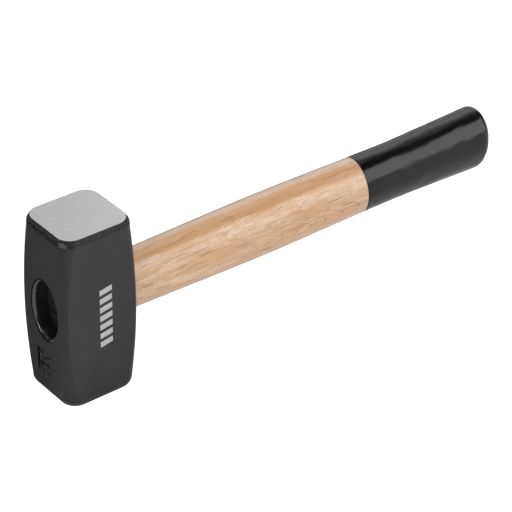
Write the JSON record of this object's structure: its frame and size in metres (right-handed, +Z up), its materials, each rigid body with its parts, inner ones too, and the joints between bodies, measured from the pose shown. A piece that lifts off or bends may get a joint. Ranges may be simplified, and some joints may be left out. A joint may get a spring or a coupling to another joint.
{
  "type": "sledgehammer",
  "caption": "Short-handled club sledgehammer: square forged steel head with flat striking faces, wedged onto an oval wooden handle with a dip-coated grip.",
  "frame": {"origin": "centre of the lower striking face, on which the hammer's head stands", "axes": "+X along the handle from the head to the butt, +Z up through the head to its upper striking face, +Y across the head, so that XZ is the mirror plane"},
  "size_m": [0.2813, 0.0376, 0.095],
  "materials": {
    "painted_head": "satin black paint over forged steel; the two striking faces are ground bright",
    "handle_wood": "pale beech under satin varnish",
    "grip_lacquer": "glossy black dip coating",
    "wedge_wood": "plain hardwood",
    "wedge_steel": "barbed mild steel, as rolled"
  },
  "bodies": {
    "root": {"hammer_head": "painted_head", "handle": "handle_wood", "grip_coating": "grip_lacquer", "wooden_wedge": "wedge_wood", "steel_wedge_upper": "wedge_steel", "steel_wedge_lower": "wedge_steel"}
  },
  "joints": []
}
